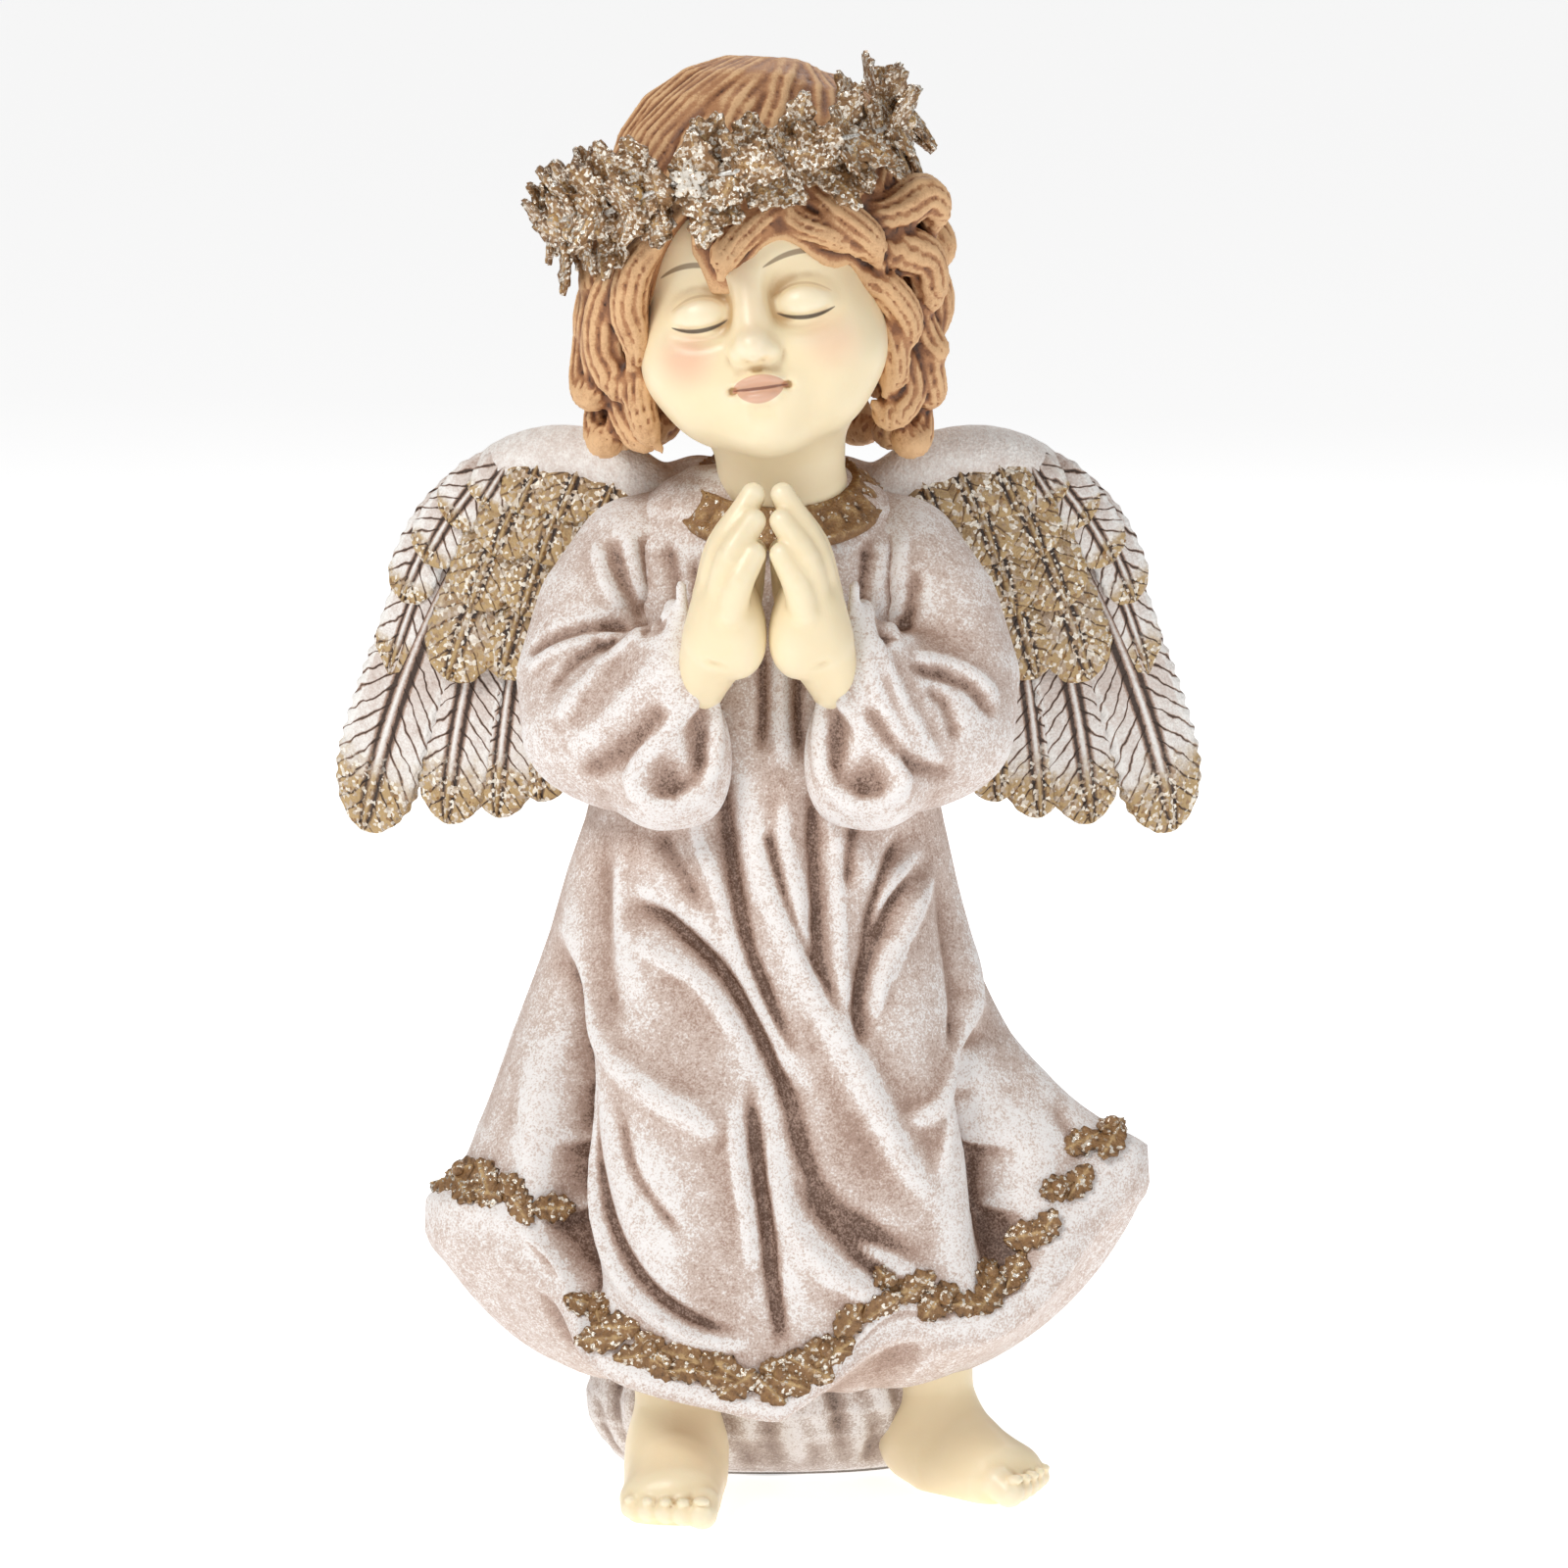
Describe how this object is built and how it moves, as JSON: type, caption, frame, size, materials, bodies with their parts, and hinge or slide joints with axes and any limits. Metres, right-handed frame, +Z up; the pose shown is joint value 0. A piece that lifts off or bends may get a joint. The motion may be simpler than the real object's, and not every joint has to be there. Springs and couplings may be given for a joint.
{
  "type": "angel figurine",
  "caption": "Standing child angel in cast resin with praying hands, spread wings, a long draped gown and a leaf wreath.",
  "frame": {"origin": "on the surface the figurine stands on, below the middle of its bounding box", "axes": "+Z up, from the base to the crown of the head; the figure faces -Y and its own left is +X"},
  "size_m": [0.1776, 0.0957, 0.3005],
  "materials": {
    "gown_resin": "satin",
    "underskirt_resin": "satin",
    "plug": "satin",
    "felt": "matte",
    "skin_resin": "satin",
    "hair_resin": "satin",
    "wing_resin": "satin",
    "dowel_steel": "brushed",
    "vine_resin": "satin",
    "leaf_resin": "glitter",
    "silver_wire": "bright",
    "berry_resin": "glossy",
    "braid_resin": "satin"
  },
  "bodies": {
    "root": {"gown": "gown_resin", "underskirt": "underskirt_resin", "base_plug": "plug", "base_felt": "felt", "head": "skin_resin", "hair": "hair_resin", "left_sleeve": "gown_resin", "right_sleeve": "gown_resin", "left_hand": "skin_resin", "right_hand": "skin_resin", "left_foot": "skin_resin", "right_foot": "skin_resin", "left_wing": "wing_resin", "right_wing": "wing_resin", "left_wing_dowels": "dowel_steel", "right_wing_dowels": "dowel_steel", "wreath_vine": "vine_resin", "wreath_upper_leaves": "leaf_resin", "wreath_lower_leaves": "leaf_resin", "wreath_wire": "silver_wire", "wreath_flower": "leaf_resin", "wreath_berries": "berry_resin", "collar_braid": "braid_resin", "hem_spray_1": "leaf_resin", "hem_spray_2": "leaf_resin", "hem_spray_3": "leaf_resin", "hem_spray_4": "leaf_resin", "hem_spray_5": "leaf_resin", "hem_spray_6": "leaf_resin", "hem_spray_7": "leaf_resin"}
  },
  "joints": []
}
